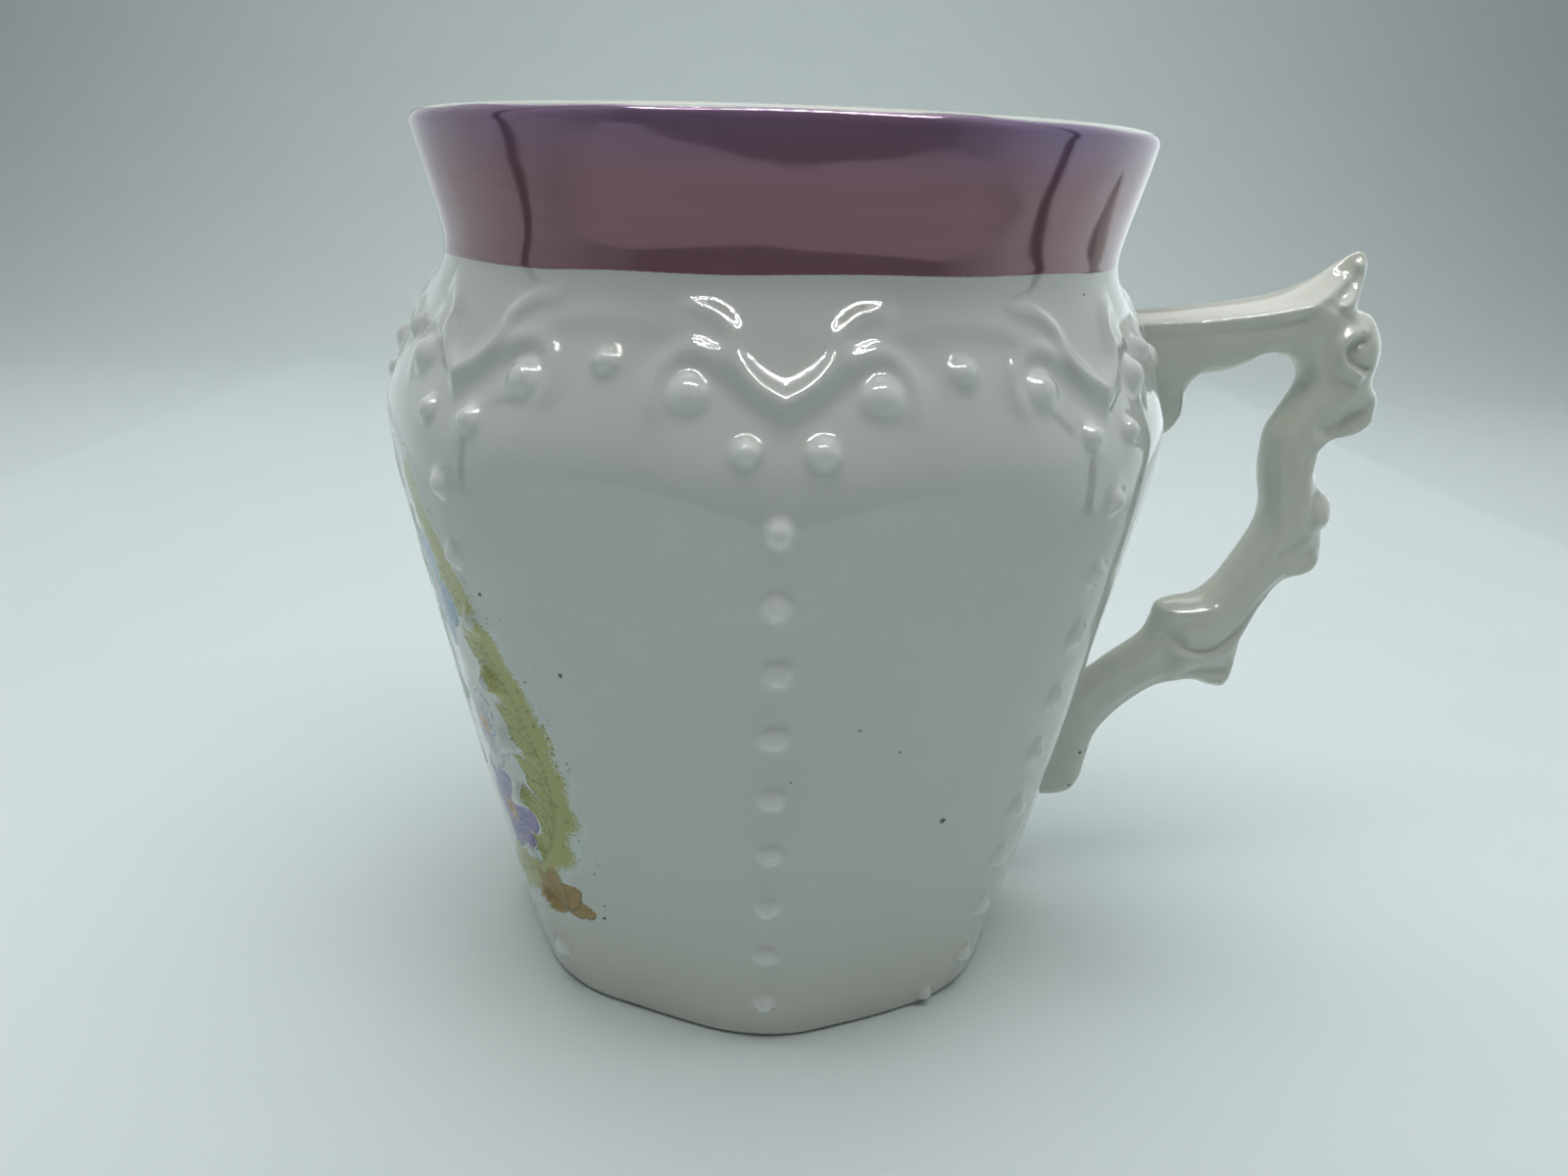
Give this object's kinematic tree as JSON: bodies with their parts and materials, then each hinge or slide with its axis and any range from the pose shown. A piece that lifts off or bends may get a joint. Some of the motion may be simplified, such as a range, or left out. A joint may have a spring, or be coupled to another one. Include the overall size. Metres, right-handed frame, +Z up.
{
  "type": "porcelain mug",
  "caption": "Porcelain mug: tapering cup with moulded bead rows and a scalloped collar, flared lustre-banded neck, printed side panel and a scrolled handle.",
  "frame": {"origin": "centre of the foot, on the surface the mug stands on, on the cup's axis", "axes": "+Z up along the cup's axis, +X towards the handle, -Y towards the front bead row, -X towards the printed panel"},
  "size_m": [0.1093, 0.0854, 0.09],
  "materials": {
    "glazed_porcelain": "clear gloss glaze over white porcelain",
    "handle_porcelain": "clear gloss glaze over slightly ivory porcelain",
    "joint_slip": "fired joining slip under the same clear glaze",
    "pink_lustre": "fired mauve-pink lustre with a violet sheen, over glaze",
    "printed_enamel": "fired printed enamel colours, over glaze"
  },
  "bodies": {
    "root": {"cup_body": "glazed_porcelain", "handle": "handle_porcelain", "upper_handle_slip": "joint_slip", "lower_handle_slip": "joint_slip", "lustre_band": "pink_lustre", "printed_panel": "printed_enamel"}
  },
  "joints": []
}
